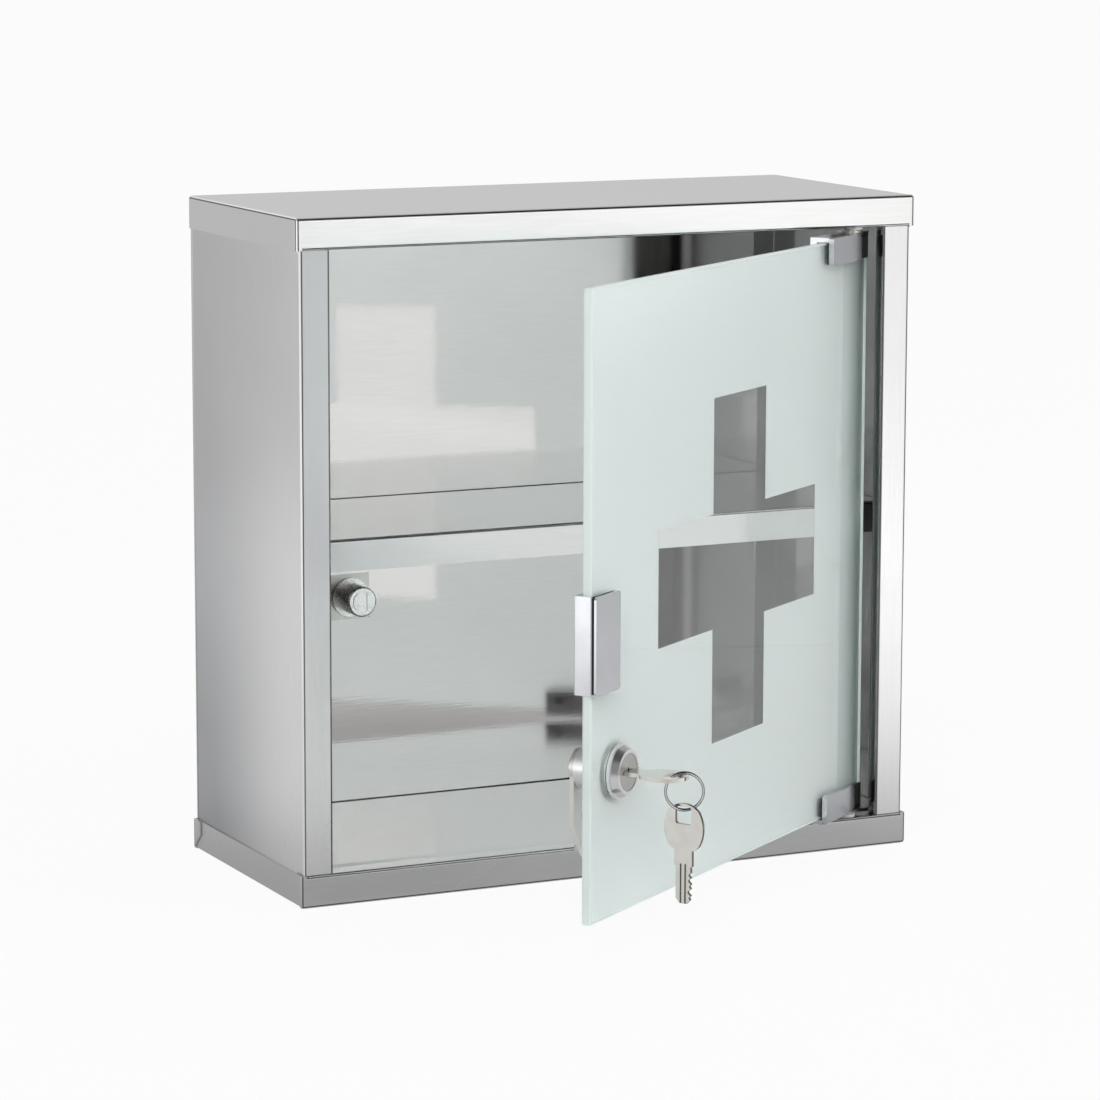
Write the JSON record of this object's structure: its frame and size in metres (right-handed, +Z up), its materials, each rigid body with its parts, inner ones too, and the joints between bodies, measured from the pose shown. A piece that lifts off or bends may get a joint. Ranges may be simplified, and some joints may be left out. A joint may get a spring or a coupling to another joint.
{
  "type": "wall-mounted first aid cabinet",
  "caption": "Steel wall cabinet for first aid supplies with a shelf, a frosted glass door with a clear cross, a cam lock and keys.",
  "frame": {"origin": "middle of the underside of the bottom tray", "axes": "+Z up, door on the -Y side, wall on the +Y side, hinges on the +X side"},
  "size_m": [0.3018, 0.2929, 0.3],
  "materials": {
    "satin_steel": "satin stainless steel sheet, fine grain",
    "plated_steel": "nickel plated steel",
    "matt_chrome": "matt chrome",
    "chrome": "bright chrome",
    "key_nickel": "warm nickel plate, soft gloss",
    "brass": "stamped brass",
    "door_glass": "clear toughened glass, faint green edge",
    "frosted_layer": "white frosting, translucent",
    "black_rubber": "black rubber",
    "nylon": "natural nylon",
    "ferrite": "dark magnet",
    "dark_screws": "black oxide steel"
  },
  "bodies": {
    "cabinet": {"top_cap": "satin_steel", "bottom_tray": "satin_steel", "left_side": "satin_steel", "right_side": "satin_steel", "back_panel": "satin_steel", "floor_sheet": "satin_steel", "ceiling_sheet": "satin_steel", "shelf": "satin_steel", "catch_bracket": "plated_steel", "catch_housing": "plated_steel", "catch_magnet": "ferrite", "catch_pole_plates": "plated_steel", "catch_rivet": "plated_steel", "upper_hinge_bush": "nylon", "lower_hinge_bush": "nylon"},
    "door": {"door_glass": "door_glass", "frosted_layer": "frosted_layer", "upper_hinge_clip": "matt_chrome", "upper_hinge_pad": "black_rubber", "upper_hinge_pin": "plated_steel", "upper_hinge_screws": "dark_screws", "lower_hinge_clip": "matt_chrome", "lower_hinge_pad": "black_rubber", "lower_hinge_pin": "plated_steel", "lower_hinge_screws": "dark_screws", "handle_clip": "matt_chrome", "handle_cover": "matt_chrome", "handle_foam": "black_rubber", "handle_liner": "black_rubber", "handle_screws": "dark_screws", "lock_housing": "chrome", "lock_gasket": "black_rubber", "lock_washer": "plated_steel", "lock_nut": "plated_steel"},
    "lock_plug": {"lock_plug": "key_nickel", "lock_wafers": "brass", "lock_cam": "plated_steel", "cam_screw": "plated_steel"},
    "key": {"key": "key_nickel"},
    "key_ring": {"key_ring": "chrome"},
    "spare_key": {"spare_key": "key_nickel"}
  },
  "joints": [
    {"name": "door_hinge", "type": "hinge", "parent": "cabinet", "child": "door", "pos_m": [0.1225, -0.059, 0], "axis": [0, 0, 1], "range_deg": [-36, 84]},
    {"name": "lock_turn", "type": "hinge", "parent": "door", "child": "lock_plug", "pos_m": [-0.06454, -0.1949, 0.0794], "axis": [-0.5878, 0.809, 0], "range_deg": [0, 90]},
    {"name": "key_pull", "type": "slide", "parent": "lock_plug", "child": "key", "axis": [0.5878, -0.809, 0], "range_m": [0, 0.018]},
    {"name": "ring_swing", "type": "hinge", "parent": "key", "child": "key_ring", "pos_m": [-0.04444, -0.21954, 0.0802], "axis": [0.8988, -0.4384, 0], "range_deg": [-20, 20]},
    {"name": "spare_swing", "type": "hinge", "parent": "key_ring", "child": "spare_key", "pos_m": [-0.04444, -0.21954, 0.0658], "axis": [0.8988, -0.4384, 0], "range_deg": [-15, 15]}
  ]
}
